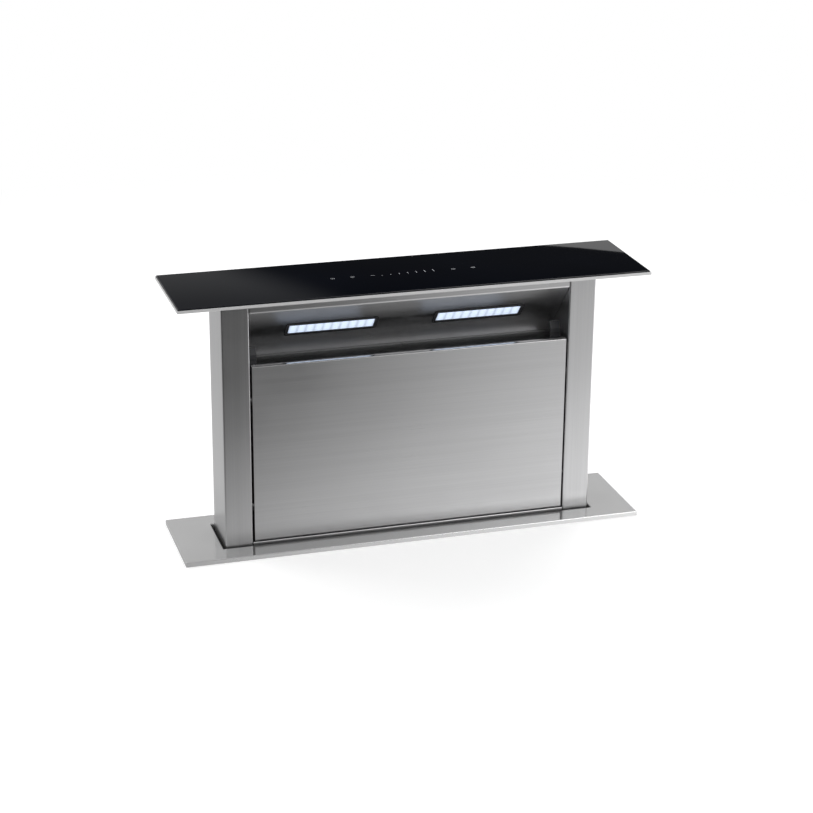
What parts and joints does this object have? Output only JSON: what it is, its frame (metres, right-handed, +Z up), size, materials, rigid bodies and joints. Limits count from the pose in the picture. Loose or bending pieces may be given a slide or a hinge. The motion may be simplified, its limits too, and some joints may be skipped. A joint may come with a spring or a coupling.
{
  "type": "downdraft vent",
  "caption": "Retractable downdraft kitchen vent, raised: steel column with lamp canopy, removable front panel, black glass top, worktop trim and under-worktop blower.",
  "frame": {"origin": "centre of the column's slot, level with the worktop surface that the trim lies on", "axes": "+Z up, -Y faces the cook, +X to the cook's right"},
  "size_m": [0.6, 0.2839, 1.0258],
  "materials": {
    "stainless": "horizontally brushed stainless steel",
    "canopy_steel": "satin stainless steel",
    "trim_steel": "polished satin stainless steel",
    "black_glass": "black printed toughened glass",
    "circuit_board": "printed circuit board",
    "black_plastic": "fine moulded grain",
    "lamp_light": "frosted diffuser, lit",
    "bright_steel": "ground steel",
    "aluminium": "natural aluminium",
    "bronze": "sintered bronze",
    "motor_steel": "black painted steel",
    "grey_plastic": "moulded nylon",
    "rubber": "matt rubber",
    "galvanised": "galvanised steel with a fine spangle"
  },
  "bodies": {
    "chassis": {"trim_frame": "trim_steel", "slot_seal": "rubber", "chassis_shell": "galvanised", "chassis_cover": "galvanised", "chassis_floor": "galvanised", "guide_rail_right": "aluminium", "guide_rail_left": "aluminium", "rack_right": "bright_steel", "rack_left": "bright_steel", "front_clamp": "galvanised", "rear_clamp": "galvanised", "foot_right": "galvanised", "foot_left": "galvanised", "inlet_ring": "galvanised", "blower_scroll": "galvanised", "fan_motor": "aluminium", "outlet_adapter": "galvanised", "outlet_spigot": "black_plastic", "flap_pin": "bright_steel", "electronics_box": "black_plastic", "box_lid": "black_plastic", "control_board": "circuit_board", "cable_gland": "black_plastic"},
    "front_panel": {"front_panel": "stainless", "panel_ledge": "stainless"},
    "lift_shaft": {"cross_shaft": "bright_steel", "pinion_right": "bright_steel", "pinion_left": "bright_steel"},
    "filter_bolt_right": {"filter_bolt_right": "bright_steel"},
    "filter_bolt_left": {"filter_bolt_left": "bright_steel"},
    "impeller": {"impeller": "grey_plastic"},
    "front_flap": {"front_flap": "black_plastic"},
    "rear_flap": {"rear_flap": "black_plastic"},
    "column": {"top_tray": "stainless", "post_right": "stainless", "post_left": "stainless", "column_back": "stainless", "column_lower_front": "stainless", "lamp_canopy": "canopy_steel", "glass_top": "black_glass", "touch_board": "circuit_board", "lamp_bezel_right": "black_plastic", "lamp_bezel_left": "black_plastic", "lamp_lens_right": "lamp_light", "lamp_lens_left": "lamp_light", "panel_catch_right": "bright_steel", "panel_catch_left": "bright_steel", "drip_tray": "aluminium", "grease_filter_right": "aluminium", "grease_filter_left": "aluminium", "gearbox": "aluminium", "shaft_bush_right": "bronze", "shaft_bush_left": "bronze", "lift_motor": "motor_steel", "upper_shoe_right": "grey_plastic", "upper_shoe_left": "grey_plastic", "lower_shoe_right": "grey_plastic", "lower_shoe_left": "grey_plastic"}
  },
  "joints": [
    {"name": "lift", "type": "slide", "parent": "chassis", "child": "column", "axis": [0, 0, 1], "range_m": [-0.3218, 0]},
    {"name": "lift_shaft", "type": "hinge", "parent": "column", "child": "lift_shaft", "pos_m": [0, 0, -0.112], "axis": [1, 0, 0], "range_deg": [-1, 1230]},
    {"name": "panel_unhook", "type": "slide", "parent": "column", "child": "front_panel", "axis": [0, 0, 1], "range_m": [0, 0.012]},
    {"name": "filter_bolt_right", "type": "slide", "parent": "column", "child": "filter_bolt_right", "axis": [-1, 0, 0], "range_m": [0, 0.006], "stiffness_N_per_m": 200, "springref_m": -0.003},
    {"name": "filter_bolt_left", "type": "slide", "parent": "column", "child": "filter_bolt_left", "axis": [1, 0, 0], "range_m": [0, 0.006], "stiffness_N_per_m": 200, "springref_m": -0.003},
    {"name": "impeller", "type": "hinge", "parent": "chassis", "child": "impeller", "pos_m": [0, -0.09, -0.5298], "axis": [0, 1, 0], "continuous": true},
    {"name": "front_flap", "type": "hinge", "parent": "chassis", "child": "front_flap", "pos_m": [0.222, -0.1284, -0.6048], "axis": [0, 0, 1], "range_deg": [0, 75], "stiffness_Nm_per_rad": 0.02, "springref_deg": -11.46},
    {"name": "rear_flap", "type": "hinge", "parent": "chassis", "child": "rear_flap", "pos_m": [0.222, -0.1284, -0.6048], "axis": [0, 0, -1], "range_deg": [0, 75], "stiffness_Nm_per_rad": 0.02, "springref_deg": -11.46}
  ],
  "couplings": [
    {"joint": "lift_shaft", "follows": "lift", "rad_per_m": -66.667}
  ]
}
